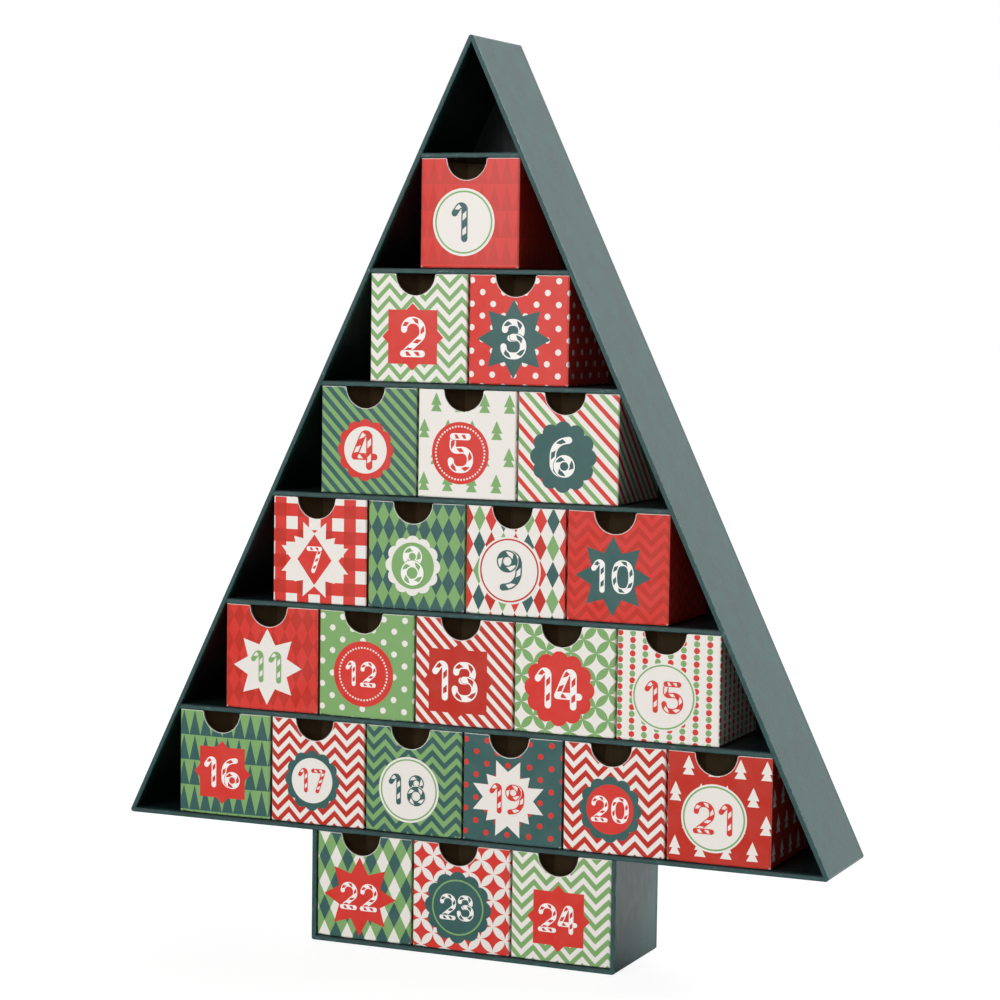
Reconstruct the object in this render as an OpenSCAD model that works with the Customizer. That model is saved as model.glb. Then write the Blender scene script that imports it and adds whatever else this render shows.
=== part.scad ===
// Tree-shaped advent calendar of paper-wrapped board, with twenty-four folded card drawers.
// Frame: origin under the middle of the trunk, +X to the viewer's right, +Y to the back, +Z up.
// The case is built round its drawers, so every board follows from their size and their gaps.

/* [Drawers] */
// Width of a drawer across its front
drawer_w = 50; // [42:0.5:60]
// Height of a drawer from its underside to its rim
drawer_h = 50.8; // [42:0.2:60]
// Depth of a drawer from the ends of its front panel to its back
drawer_d = 53.5; // [40:0.5:75]
// Thickness of the card that a drawer is folded from
card_t = 0.6; // [0.4:0.05:0.9]
// Outside radius of a fold in the card
fold_r = 1; // [0.6:0.1:1.6]
// How far the front panel bows out at its middle
front_bow = 0.8; // [0.3:0.1:1.1]

/* [Finger notch] */
// Radius of the half-round finger notch in the front panel
notch_r = 10.1; // [6:0.1:12]
// Radius of the rounded shoulders where the notch meets the rim
shoulder_r = 0.8; // [0.4:0.1:2]
// How far the notch is cut to the left of the panel's middle
notch_shift = 1.5; // [0:0.1:2]

/* [Glue flaps] */
// Width of a glue flap behind the front or the back panel
flap_w = 10.5; // [5:0.5:12]
// How much a flap narrows towards its free edge, at its top and at its bottom
flap_taper = 2.5; // [1:0.25:5]
// How far a flap stays below the rim and above the floor
flap_inset = 1.6; // [1:0.1:4]

/* [Gaps] */
// Gap between neighbouring drawers
column_gap = 1; // [0.6:0.1:3]
// Gap between the end drawers of a row and the boards beside them
side_gap = 0.3; // [0.3:0.05:2]
// Gap under a drawer
run_gap = 0.3; // [0.3:0.05:1]
// Gap between a drawer's rim and the board above it
head_gap = 0.3; // [0.3:0.05:2]
// Gap behind a closed drawer
back_gap = 0.3; // [0.3:0.05:3]
// How far the ends of a drawer's front panel lie behind the front edges of the case
front_setback = 1.2; // [1.2:0.1:5]

/* [Case] */
// Thickness of the wrapped boards
board_t = 2.3; // [1.6:0.1:4]
// Radius of the paper wrapped over a board's long edges
wrap_r = 0.5; // [0.2:0.1:0.7]
// Radius of the case's outer corners
corner_r = 1.6; // [0.6:0.1:2.4]
// Thickness of the back boards let in between the sides
back_t = 2; // [1:0.1:4]
// How far the front edges of the shelves lie behind those of the sides
shelf_setback = 0.3; // [0:0.1:1]

/* [Hidden] */
// Facets of a round shape, and of the long, shallow arc of a drawer's front
round_fn = 64;
bow_fn = 720;
$fn = round_fn;
// How far a cut runs past what it cuts
overrun = 2;

// Tree: rows of 1 to 6 drawers, and a trunk with a row of its own
TREE_ROWS = 6;
TRUNK_DRAWERS = 3;
TREE_DRAWERS = TREE_ROWS * (TREE_ROWS + 1) / 2;
DRAWER_COUNT = TREE_DRAWERS + TRUNK_DRAWERS;

// Grid of the drawers
column_pitch = drawer_w + column_gap;
row_pitch = board_t + run_gap + drawer_h + head_gap;
case_depth = front_setback + drawer_d + back_gap + back_t;
front_y = -case_depth / 2;
inner_depth = case_depth - back_t;

// Each row is half a column wider to each side than the row above it, and the sides lean to match
side_slope = column_pitch / (2 * row_pitch);
lean = atan(side_slope);

// The tree's inside touches the lowest row's upper corners, but for the side gap
base_z = row_pitch;
lowest_floor_z = base_z + board_t;
lowest_rim_z = lowest_floor_z + run_gap + drawer_h;
lowest_half_w = (TREE_ROWS * drawer_w + (TREE_ROWS - 1) * column_gap) / 2;
inner_apex_z = lowest_rim_z + (lowest_half_w + side_gap / cos(lean)) / side_slope;
apex_z = inner_apex_z + board_t / sin(lean);

// Trunk
trunk_w = TRUNK_DRAWERS * drawer_w + (TRUNK_DRAWERS - 1) * column_gap + 2 * (side_gap + board_t);

// Bowed front panel: radius of its arc through the panel's two ends, and the arc's centre
bow_r = (pow(drawer_w / 2, 2) + pow(front_bow, 2)) / (2 * front_bow);
bow_y = bow_r - front_bow;
// How far the fold under the panel stays outside the panel's own arc, and the sharpest inside fold
bow_ease = card_t / 30;
sharpest_fold = card_t / 4;

// Colours of the wrapped boards and of the printed card, one per drawer
BOARD = [0.16, 0.29, 0.29];
BACKING = [0.10, 0.15, 0.15];
RED = [0.84, 0.25, 0.22];
GREEN = [0.50, 0.69, 0.41];
TEAL = [0.25, 0.39, 0.38];
CREAM = [0.95, 0.93, 0.90];
CARD_COLOURS = [
  RED,
  GREEN, RED,
  TEAL, CREAM, CREAM,
  RED, TEAL, CREAM, RED,
  RED, GREEN, RED, GREEN, CREAM,
  GREEN, RED, GREEN, TEAL, RED, RED,
  GREEN, RED, GREEN
];

// Names of the nodes
CASE_NODES = ["left_side", "right_side", "base_board", "tree_back"];
TRUNK_NODES = ["trunk_left", "trunk_right", "trunk_floor", "trunk_back"];
SHELF_NODES = [for (k = [1 : TREE_ROWS]) str("shelf_", k)];
DRAWER_NODES = [for (n = [1 : DRAWER_COUNT]) str("drawer_", n < 10 ? "0" : "", n)];

// Outline of the tree, drawn in from its outer faces by an inset: left foot, right foot, apex
function tree_apex_z(inset) = apex_z - inset / sin(lean);
function tree_half_w(inset) = side_slope * (tree_apex_z(inset) - base_z - inset);
function tree_corners(inset) = [
  [-tree_half_w(inset), base_z + inset],
  [tree_half_w(inset), base_z + inset],
  [0, tree_apex_z(inset)]
];

// The bisectors of the tree's corners, where its boards are mitred, meet at one point
tree_centre = [0, base_z + tree_half_w(0) * tan((90 - lean) / 2)];

// Underside of the shelf over a row, and top of the board under a row; the trunk's row comes last
function shelf_z(row) = (TREE_ROWS + 2 - row) * row_pitch;
function floor_z(row) = shelf_z(row) - row_pitch + board_t;

// Row and place in the row of each drawer, counted from the top left
function row_of(n, row = 1) = n <= row * (row + 1) / 2 || row > TREE_ROWS ? row : row_of(n, row + 1);
function drawers_in(row) = row > TREE_ROWS ? TRUNK_DRAWERS : row;
function column_of(n) = n - row_of(n) * (row_of(n) - 1) / 2;
function drawer_place(n) = [
  (column_of(n) - (drawers_in(row_of(n)) + 1) / 2) * column_pitch,
  front_y + front_setback,
  floor_z(row_of(n)) + run_gap
];

// Inside radius of a fold, on a form drawn in by an inset
function fold_at(inset) = max(fold_r - inset, sharpest_fold);

// Section across a wrapped board: depth and thickness, with its four long edges rounded
module board_section(depth) {
  translate([wrap_r, 0]) square([depth - 2 * wrap_r, board_t]);
  translate([0, wrap_r]) square([depth, board_t - 2 * wrap_r]);
  for (y = [wrap_r, depth - wrap_r], z = [wrap_r, board_t - wrap_r]) {
    translate([y, z]) circle(wrap_r);
  }
}

// A wrapped board laid along +X from the origin, with its thickness upwards
module board(length, depth, setback = 0) {
  translate([0, front_y + setback, 0]) {
    rotate([90, 0, 90]) linear_extrude(length) board_section(depth);
  }
}

// A board that stands on a foot and leans inwards, with its thickness inwards
module standing_board(foot, length, tilt) {
  translate([foot.x, 0, foot.y]) rotate([0, -90 - tilt, 0]) board(length, case_depth);
}

// A flat outline of the front view, as deep as the case and a little more
module through_case() {
  translate([0, case_depth / 2 + overrun, 0]) {
    rotate([90, 0, 0]) linear_extrude(case_depth + 2 * overrun) children();
  }
}

// The tree's outer outline with rounded corners
module tree_outline() {
  centres = tree_corners(corner_r);
  side = corner_r * [cos(lean), sin(lean)];
  outwards = [[0, -corner_r], side, [-side.x, side.y]];
  polygon([for (i = [0 : 2]) each [
    centres[i] + outwards[(i + 2) % 3],
    centres[i],
    centres[i] + outwards[i]
  ]]);
  for (centre = centres) {
    translate(centre) circle(corner_r);
  }
}

// The share of the tree between two of its corners, parted along the mitres
module tree_share(a, b) {
  reach_share = 1.1;
  spokes = [for (i = [a, b]) tree_corners(0)[i] - tree_centre];
  intersection() {
    tree_outline();
    polygon([tree_centre, tree_centre + reach_share * spokes[0], tree_centre + reach_share * spokes[1]]);
  }
}

// One of the tree's two leaning sides, mitred at the apex and at its foot
module right_side() {
  color(BOARD) intersection() {
    standing_board([tree_half_w(0), base_z], (apex_z - base_z) / cos(lean), lean);
    through_case() tree_share(1, 2);
  }
}

module left_side() {
  mirror([1, 0, 0]) right_side();
}

// The board under the tree, mitred into the feet of the sides
module base_board() {
  color(BOARD) intersection() {
    translate([-tree_half_w(0), 0, base_z]) board(2 * tree_half_w(0), case_depth);
    through_case() tree_share(0, 1);
  }
}

// The board over a row of drawers, cut at a slant where it butts against the sides
module shelf(row) {
  color(BOARD) intersection() {
    translate([-tree_half_w(board_t), 0, shelf_z(row)]) {
      board(2 * tree_half_w(board_t), inner_depth - shelf_setback, shelf_setback);
    }
    through_case() polygon(tree_corners(board_t));
  }
}

// The back of the tree, let in behind the shelves
module tree_back() {
  color(BACKING) translate([0, case_depth / 2, 0]) {
    rotate([90, 0, 0]) linear_extrude(back_t) polygon(tree_corners(board_t));
  }
}

// The trunk's outer outline, rounded at its two lower corners
module trunk_outline() {
  half = trunk_w / 2;
  translate([-half, corner_r]) square([trunk_w, row_pitch - corner_r]);
  translate([corner_r - half, 0]) square([trunk_w - 2 * corner_r, corner_r]);
  for (x = [corner_r - half, half - corner_r]) {
    translate([x, corner_r]) circle(corner_r);
  }
}

// The trunk's right wall, hung under the tree and mitred into the floor
module trunk_right() {
  half = trunk_w / 2;
  color(BOARD) intersection() {
    standing_board([half, 0], row_pitch, 0);
    through_case() intersection() {
      trunk_outline();
      polygon([
        [half + overrun, -overrun],
        [half - board_t - overrun, board_t + overrun],
        [half - board_t - overrun, row_pitch + overrun],
        [half + overrun, row_pitch + overrun]
      ]);
    }
  }
}

module trunk_left() {
  mirror([1, 0, 0]) trunk_right();
}

// The trunk's floor, which the calendar stands on
module trunk_floor() {
  half = trunk_w / 2;
  color(BOARD) intersection() {
    translate([-half, 0, 0]) board(trunk_w, case_depth);
    through_case() intersection() {
      trunk_outline();
      polygon([
        [-half - overrun, -overrun],
        [-half + board_t + overrun, board_t + overrun],
        [half - board_t - overrun, board_t + overrun],
        [half + overrun, -overrun]
      ]);
    }
  }
}

// The back of the trunk, let in between its walls, its floor and the tree
module trunk_back() {
  width = trunk_w - 2 * board_t;
  color(BACKING) translate([-width / 2, case_depth / 2 - back_t, board_t]) {
    cube([width, back_t, row_pitch - board_t]);
  }
}

// Plan of a drawer drawn in by an inset, with its bowed front and four folds
module drawer_plan(inset) {
  r = fold_at(inset);
  arc_r = bow_r - inset;
  fold_x = drawer_w / 2 - inset - r;
  front_fold_y = bow_y - sqrt(pow(arc_r - r, 2) - pow(fold_x, 2));
  back_fold_y = drawer_d - inset - r;
  outwards = [fold_x, front_fold_y - bow_y] * (arc_r + r) / (arc_r - r);
  intersection() {
    translate([0, bow_y]) circle(arc_r, $fn = bow_fn);
    polygon([
      [-fold_x, front_fold_y],
      [-outwards.x, bow_y + outwards.y],
      [outwards.x, bow_y + outwards.y],
      [fold_x, front_fold_y]
    ]);
  }
  translate([-fold_x - r, front_fold_y]) square([2 * (fold_x + r), back_fold_y - front_fold_y]);
  translate([-fold_x, front_fold_y]) square([2 * fold_x, back_fold_y + r - front_fold_y]);
  for (x = [-fold_x, fold_x], y = [front_fold_y, back_fold_y]) {
    translate([x, y]) circle(r);
  }
}

// One drawer's block drawn in by an inset, with folds along its lower edges and up its corners
module drawer_block(inset) {
  r = fold_at(inset);
  half = drawer_w / 2 - inset;
  depth = front_bow + drawer_d;
  top = inset > 0 ? drawer_h + overrun : drawer_h;
  rim_r = bow_r - inset + bow_ease;
  intersection() {
    linear_extrude(top) drawer_plan(inset);
    // Folds along the left and right of the floor
    translate([0, depth + overrun, 0]) rotate([90, 0, 0]) linear_extrude(depth + 3 * overrun) {
      translate([-half, inset + r]) square([2 * half, top]);
      translate([r - half, inset]) square([2 * (half - r), top]);
      for (x = [r - half, half - r]) {
        translate([x, inset + r]) circle(r);
      }
    }
    // Fold along the back of the floor
    translate([-drawer_w, 0, 0]) rotate([90, 0, 90]) linear_extrude(2 * drawer_w) {
      translate([-depth, inset + r]) square([depth + drawer_d - inset, top]);
      translate([-depth, inset]) square([depth + drawer_d - inset - r, top]);
      translate([drawer_d - inset - r, inset + r]) circle(r);
    }
    // Fold along the bowed front of the floor
    translate([0, bow_y, 0]) rotate_extrude($fn = bow_fn) {
      translate([0, inset + r]) square([rim_r, top]);
      translate([0, inset]) square([rim_r - r, top]);
      translate([rim_r - r, inset + r]) circle(r, $fn = round_fn);
    }
  }
}

// Front views of the two glue flaps behind a panel, tapered towards their free edges
module flap_outlines() {
  free_x = drawer_w / 2 - card_t - flap_w;
  low = card_t + flap_inset;
  high = drawer_h - flap_inset;
  for (side = [-1, 1]) {
    polygon([
      [side * drawer_w / 2, low],
      [side * free_x, low + flap_taper],
      [side * free_x, high - flap_taper],
      [side * drawer_w / 2, high]
    ]);
  }
}

// The glue flaps of the side panels, folded in behind the front and the back panel
module glue_flaps() {
  reach = 3 * card_t;
  difference() {
    for (y = [reach, drawer_d + overrun]) {
      translate([0, y, 0]) rotate([90, 0, 0]) linear_extrude(reach + overrun) flap_outlines();
    }
    drawer_block(2 * card_t);
  }
}

// Outline of the finger notch about the point where its axis meets the rim
module notch_outline() {
  shoulder_x = sqrt(pow(notch_r + shoulder_r, 2) - pow(shoulder_r, 2));
  circle(notch_r);
  difference() {
    translate([-shoulder_x, -shoulder_r]) square([2 * shoulder_x, shoulder_r + overrun]);
    for (side = [-1, 1]) {
      translate([side * shoulder_x, -shoulder_r]) circle(shoulder_r);
    }
  }
}

// A drawer folded from one sheet of card: floor, four panels, glue flaps and a finger notch
module folded_tray() {
  difference() {
    drawer_block(0);
    difference() {
      drawer_block(card_t);
      glue_flaps();
    }
    translate([-notch_shift, 2 * card_t, drawer_h]) rotate([90, 0, 0]) {
      linear_extrude(2 * card_t + front_bow + overrun) notch_outline();
    }
  }
}

module drawer(n) {
  color(CARD_COLOURS[n - 1]) translate(drawer_place(n)) folded_tray();
}

left_side();
right_side();
base_board();
tree_back();
trunk_left();
trunk_right();
trunk_floor();
trunk_back();
for (row = [1 : TREE_ROWS]) {
  shelf(row);
}
for (n = [1 : DRAWER_COUNT]) {
  drawer(n);
}
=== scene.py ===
# %% [markdown]
# # A fir-tree calendar: wrapped board and printed card
#
# The real thing is a case of greyboard wrapped in dark green paper, with 24 folded card drawers in it. All of
# its solid shapes are packed already, so this lesson gives them their finish: the paper of the case, the
# print of the cards, and the badges and numerals on them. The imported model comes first, because every piece
# is placed by it.

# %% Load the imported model
import math

import bmesh
import bpy
from mathutils import Matrix, Vector


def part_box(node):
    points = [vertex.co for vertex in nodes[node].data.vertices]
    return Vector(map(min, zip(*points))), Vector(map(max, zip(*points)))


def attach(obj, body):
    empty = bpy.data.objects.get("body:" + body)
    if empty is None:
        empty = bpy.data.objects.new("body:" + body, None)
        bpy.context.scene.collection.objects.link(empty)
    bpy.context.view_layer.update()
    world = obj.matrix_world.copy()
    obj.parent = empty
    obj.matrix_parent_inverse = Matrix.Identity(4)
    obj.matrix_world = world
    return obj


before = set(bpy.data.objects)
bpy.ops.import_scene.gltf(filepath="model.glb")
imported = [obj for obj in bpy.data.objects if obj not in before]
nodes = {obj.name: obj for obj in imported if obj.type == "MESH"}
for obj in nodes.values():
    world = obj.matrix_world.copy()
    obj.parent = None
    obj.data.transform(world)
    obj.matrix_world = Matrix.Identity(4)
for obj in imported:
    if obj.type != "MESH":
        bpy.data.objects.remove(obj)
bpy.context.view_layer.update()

# %% [markdown]
# ## The drawers' places
#
# Every print is laid out on its own drawer, in millimetres, so each drawer needs its middle, its underside
# and the line of its front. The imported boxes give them, and nothing is measured twice. The fronts bow out a
# little, as card does when it is folded round a corner and glued. The bow and the card's thickness are the
# two sizes here that a box can't tell.

# %% Measure the drawers
MM = 0.001
BOW = 0.8
CARD = 0.6
DRAWERS = {number: f"drawer_{number:02d}" for number in range(1, 25)}
low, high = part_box(DRAWERS[1])
WIDE, DEEP, TALL = (high - low) / MM
DEEP -= BOW
HALF = WIDE / 2


def seat(number):
    """The middle of a drawer's front at its foot, in mm, on the straight line between the front's ends"""
    low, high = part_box(DRAWERS[number])
    return Vector(((low.x + high.x) / 2, low.y + BOW * MM, low.z)) / MM


print(f"drawers: {WIDE:.1f} x {DEEP:.1f} x {TALL:.1f} mm")

# %% [markdown]
# ## Camera
#
# The camera looks a little down from the right, through a long lens, so the tree's right flank shows. It
# could be turned by hand until the view looks right. But the calendar has 24 fronts with four corners each,
# and a camera fitted to all of them is more exact, so its place and its three angles are simply written down.

# %% Camera
CAMERA_AT = Vector((0.5201, -1.1926, 0.3166))
YAW, PITCH, ROLL = (math.radians(angle) for angle in (-23.339, -4.46, 0.789))
FOCAL_SHARE = 2.7381
SENSOR = 36
NEAREST = 0.01
FARTHEST = 20

forward = Vector((math.sin(YAW) * math.cos(PITCH), math.cos(YAW) * math.cos(PITCH), math.sin(PITCH)))
level = Vector((math.cos(YAW), -math.sin(YAW), 0))
upright = level.cross(forward)
right = math.cos(ROLL) * level + math.sin(ROLL) * upright
up = math.cos(ROLL) * upright - math.sin(ROLL) * level

lens = bpy.data.cameras.new("camera")
lens.sensor_width = SENSOR
lens.lens = FOCAL_SHARE * SENSOR
lens.clip_start = NEAREST
lens.clip_end = FARTHEST
camera = bpy.data.objects.new("camera", lens)
camera.matrix_world = Matrix.Translation(CAMERA_AT) @ Matrix((right, up, -forward)).transposed().to_4x4()
bpy.context.scene.collection.objects.link(camera)
bpy.context.scene.camera = camera
print(f"camera: {lens.lens:.1f} mm lens, {CAMERA_AT.length:.2f} m away")

# %% [markdown]
# ## Shader maths as expressions
#
# A print is a formula: a stripe is where a distance, counted round and round, is below a half. Built by hand,
# such a formula is a web of Math nodes. A small class that wraps a socket lets it be written as ordinary
# arithmetic, and one function adds every other kind of node.


# %% A socket with arithmetic
def add(tree, kind, settings=None, sockets=None, out=0):
    """Adds a node: its settings first, then its sockets' values or links; gives one of its outputs"""
    node = tree.nodes.new(kind)
    for name, value in (settings or {}).items():
        setattr(node, name, value)
    for name, value in (sockets or {}).items():
        if isinstance(value, Value):
            tree.links.new(value.socket, node.inputs[name])
        else:
            node.inputs[name].default_value = value
    return Value(node.outputs[out])


class Value:
    """An output socket that can be reckoned with"""

    def __init__(self, socket):
        self.socket = socket

    @property
    def tree(self):
        return self.socket.id_data

    def reckon(self, operation, *terms):
        return add(self.tree, "ShaderNodeMath", {"operation": operation}, dict(enumerate(terms)))

    def __add__(self, other):
        return self.reckon("ADD", self, other)

    def __radd__(self, other):
        return self.reckon("ADD", other, self)

    def __sub__(self, other):
        return self.reckon("SUBTRACT", self, other)

    def __rsub__(self, other):
        return self.reckon("SUBTRACT", other, self)

    def __mul__(self, other):
        return self.reckon("MULTIPLY", self, other)

    def __rmul__(self, other):
        return self.reckon("MULTIPLY", other, self)

    def __truediv__(self, other):
        return self.reckon("DIVIDE", self, other)

    def __lt__(self, other):
        return self.reckon("LESS_THAN", self, other)

    def __gt__(self, other):
        return self.reckon("GREATER_THAN", self, other)

    def fract(self):
        return self.reckon("FRACT", self)

    def whole(self):
        return self.reckon("FLOOR", self)

    def size(self):
        return self.reckon("ABSOLUTE", self)

    def root(self):
        return self.reckon("SQRT", self)

    def least(self, other):
        return self.reckon("MINIMUM", self, other)

    def most(self, other):
        return self.reckon("MAXIMUM", self, other)

    def ramp(self, start, end):
        """0 at start and 1 at end, with soft ends"""
        settings = {"interpolation_type": "SMOOTHSTEP"}
        return add(self.tree, "ShaderNodeMapRange", settings, {0: self, 1: start, 2: end})

    def between(self, first, second):
        """The first number where this is 0, and the second where it is 1"""
        return self * (second - first) + first


# %% Vectors and colours
def parts_of(vector):
    """The x, y and z of a vector"""
    first = add(vector.tree, "ShaderNodeSeparateXYZ", None, {0: vector})
    return [Value(output) for output in first.socket.node.outputs]


def blend(mask, first, second):
    """The first colour where the mask is 0, and the second where it is 1"""
    # A Mix node keeps its colours in sockets 6 and 7, and gives its colour from output 2
    return add(mask.tree, "ShaderNodeMix", {"data_type": "RGBA"}, {0: mask, 6: first, 7: second}, out=2)


def ink(code):
    """A colour in the shader's own scale, from its six hex digits"""
    shares = [int(code[i:i + 2], 16) / 255 for i in (0, 2, 4)]
    return tuple(s / 12.92 if s <= 0.04045 else ((s + 0.055) / 1.055) ** 2.4 for s in shares) + (1,)


print("half grey as the shader knows it:", round(ink("808080")[0], 3))

# %% [markdown]
# ## Sky, floor and lamps
#
# The light is plain and soft. A wide key lamp stands far out in front, to the left, and a small weak fill
# near the camera reaches in through the finger notches. Two lamps behind the front, one at each side, light
# the flanks. One even white sky would be simpler, but it washes out the prints and fills the dark
# compartments. So Light Path tells the rays apart: the camera sees white all round, gloss sees white behind
# the calendar and less in front of it, and the sky that lights the object is weak in front. The floor works
# in the same way. It bounces back little light, yet the camera sees it nearly white, and a little whiter
# farther away, so the faint shadow by the trunk still shows.

# %% Sky
RAYS = ("Is Camera Ray", "Is Glossy Ray", "Is Transmission Ray")
SKY = 0.5
SKY_FRONT = 0.06
GLOSS_FRONT = 0.35
FRONT_TO_BACK = (-0.1, 0.6)


def ray_kinds(tree):
    """1 for camera rays, and 1 for rays that come by way of gloss or glass"""
    ray = add(tree, "ShaderNodeLightPath").socket.node
    camera_ray, glossy, through = (Value(ray.outputs[name]) for name in RAYS)
    return camera_ray, glossy.most(through)


world = bpy.data.worlds.new("studio")
world.use_nodes = True
bpy.context.scene.world = world
tree = world.node_tree
sky = tree.nodes["Background"]
sky.inputs["Color"].default_value = (1, 1, 1, 1)
backdrop = parts_of(add(tree, "ShaderNodeTexCoord", out="Generated"))[1].ramp(*FRONT_TO_BACK)
seen, glossed = ray_kinds(tree)
mirrored = glossed * backdrop.between(GLOSS_FRONT, 1)
lighting = (1 - seen.most(glossed)) * backdrop.between(SKY_FRONT, SKY)
tree.links.new(seen.most(mirrored).most(lighting).socket, sky.inputs["Strength"])
print("sky:", SKY_FRONT, "in front to", SKY, "behind")


# %% New objects and materials
def make_object(name, mesh_maker, *materials):
    """An object at the origin, from a function that fills a bmesh"""
    mesh = bpy.data.meshes.new(name)
    work = bmesh.new()
    mesh_maker(work)
    work.to_mesh(mesh)
    work.free()
    for material in materials:
        mesh.materials.append(material)
    made = bpy.data.objects.new(name, mesh)
    bpy.context.scene.collection.objects.link(made)
    return made


def new_material(name):
    """A fresh material: itself, its node tree and its shader"""
    material = bpy.data.materials.new(name)
    material.use_nodes = True
    return material, material.node_tree, material.node_tree.nodes["Principled BSDF"]


# %% Floor
FLOOR_WHITE = 0.25
FLOOR_ROUGH = 0.9
FLOOR_GLOW = 1.95
FLOOR_NEAR = 0.46
FLOOR_FAR = 0.53
FAR_OFF = (0.4, 2.0)
FLOOR_SHEEN = 0.1
SHEEN_FADE = (-0.05, 0.15)
FLOOR_REACH = 4


def floor_grid(work):
    """A square of ground round the origin"""
    bmesh.ops.create_grid(work, x_segments=4, y_segments=4, size=FLOOR_REACH)


floor_paint, tree, shader = new_material("studio_floor")
shader.inputs["Base Color"].default_value = (FLOOR_WHITE, FLOOR_WHITE, FLOOR_WHITE, 1)
shader.inputs["Roughness"].default_value = FLOOR_ROUGH
spot = add(tree, "ShaderNodeTexCoord", out="Object")
away = add(tree, "ShaderNodeVectorMath", {"operation": "LENGTH"}, {0: spot}, out="Value")
share = away.ramp(*FAR_OFF).between(FLOOR_NEAR, FLOOR_FAR)
sheen = parts_of(spot)[1].ramp(*SHEEN_FADE).between(FLOOR_SHEEN, 1)
seen, glossed = ray_kinds(tree)
whiteness = seen.most(glossed * sheen) * share
glow = add(tree, "ShaderNodeEmission", None, {"Strength": FLOOR_GLOW})
sockets = {0: whiteness, 1: Value(shader.outputs[0]), 2: glow}
whitened = add(tree, "ShaderNodeMixShader", None, sockets)
tree.links.new(whitened.socket, tree.nodes["Material Output"].inputs["Surface"])
floor = make_object("floor", floor_grid, floor_paint)
print("floor:", 2 * FLOOR_REACH, "m wide")

# %% Lamps
# Each lamp's place and width in metres, and its power in watts
LAMPS = {
    "key": ((-1.05, -4.00, 1.65), 2.1, 159),
    "fill": ((0.70, -1.75, 0.42), 0.2, 1.35),
    "right": ((1.80, 1.00, 1.80), 1.0, 52),
    "back": ((-1.6, 2.4, 1.6), 1.5, 34),
}
AIM = Vector((0, 0, 0.2))
for name, (place, side, watts) in LAMPS.items():
    lamp = bpy.data.lights.new(name, "AREA")
    lamp.size = side
    lamp.energy = watts
    holder = bpy.data.objects.new(name, lamp)
    holder.location = place
    holder.rotation_euler = (AIM - Vector(place)).to_track_quat("-Z", "Y").to_euler()
    bpy.context.scene.collection.objects.link(holder)

bpy.context.scene.view_settings.view_transform = "Standard"
print("lamps:", {name: watts for name, (_, _, watts) in LAMPS.items()})

# %% [markdown]
# ## The paper round the boards
#
# The case is greyboard with dark green paper glued round it. Such paper has short fibres that run along the
# board, a faint cloudiness, and pale wear wherever it is folded over an edge. The fibres are noise, stretched
# along the board's length, so each direction of board has its own material. The wear sits where the surface
# turns from the board's face into its edge, which the normal tells, and a painted highlight is mixed into it.
# Shade is painted as well: inside the case the paper is made much darker, and so is the inner strip of each
# front edge, next to a compartment. The whole front edge is painted a little darker, and darker still in the
# hollows of its creases. The inside and the strip could be painted on by hand, but they follow from the
# case's own measures, so a formula finds them.


# %% Places and noise on a surface
def place_on(tree):
    """The place of the shaded point, in mm"""
    spot = add(tree, "ShaderNodeTexCoord", out="Object")
    return add(tree, "ShaderNodeVectorMath", {"operation": "SCALE"}, {0: spot, "Scale": 1 / MM})


def facing_on(tree):
    """The x, y and z of the direction that the surface faces"""
    return parts_of(add(tree, "ShaderNodeTexCoord", out="Normal"))


def swing(count):
    """0 at each whole number, and 1 half-way between them"""
    return ((count + 0.5).fract() - 0.5).size() * 2


def noise(vector, pitch, detail=2.0, harsh=0.5):
    """Cloudy noise from 0 to 1; pitch is the size of its clouds in the vector's own measure"""
    sockets = {"Vector": vector, "Scale": 1 / pitch, "Detail": detail, "Roughness": harsh}
    return add(vector.tree, "ShaderNodeTexNoise", None, sockets)


def drawn_out(along, share, pitch, detail, harsh):
    """Noise with clouds drawn out along X: share is their width over their length"""
    sockets = {0: along, 1: (share, 1, 1)}
    squeezed = add(along.tree, "ShaderNodeVectorMath", {"operation": "MULTIPLY"}, sockets)
    return noise(squeezed, pitch, detail, harsh)


def turned_flat(vector, degrees):
    """The vector turned about Y, so that its X runs along a board that leans by that angle"""
    sockets = {"Vector": vector, "Angle": math.radians(degrees)}
    return add(vector.tree, "ShaderNodeVectorRotate", {"rotation_type": "Y_AXIS"}, sockets)


def bump(height, depth):
    """A normal that shows a height from 0 to 1 as relief of that depth in mm"""
    return add(height.tree, "ShaderNodeBump", None, {"Height": height, "Distance": depth * MM, "Strength": 1})


def plug(shader, **links):
    """Links values to the shader's sockets: base_color to Base Color, and so on"""
    for name, value in links.items():
        socket = shader.inputs[name.replace("_", " ").title()]
        value.tree.links.new(value.socket, socket)


# %% Measures of the case
TREE_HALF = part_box("right_side")[1].x / MM
TREE_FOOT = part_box("base_board")[0].z / MM
TREE_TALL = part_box("right_side")[1].z / MM - TREE_FOOT
TRUNK_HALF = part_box("trunk_right")[1].x / MM
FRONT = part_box("right_side")[0].y / MM
BACK = -FRONT
BOARD = (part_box("base_board")[1].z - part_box("base_board")[0].z) / MM
SLOPE = TREE_HALF / TREE_TALL
LEAN = math.degrees(math.atan(SLOPE))
# The trunk holds one row of drawers, so the rows above it are as far apart as it is high
ROW = TREE_FOOT
print(f"board: {BOARD:.1f} mm, lean: {LEAN:.1f} degrees, row: {ROW:.1f} mm")

# %% Painted shade inside and on the inner strip
AHEAD = 3.0
MARGIN = 1.0
INSIDE_SHADE_FADE = (0.4, 5)
# Where the strip of painted shade starts and is full, as shares of a leaning and of a level board's thickness
LEANING_STRIP = (0.4, 0.75)
LEVEL_STRIP = (0.68, 0.85)


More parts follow.
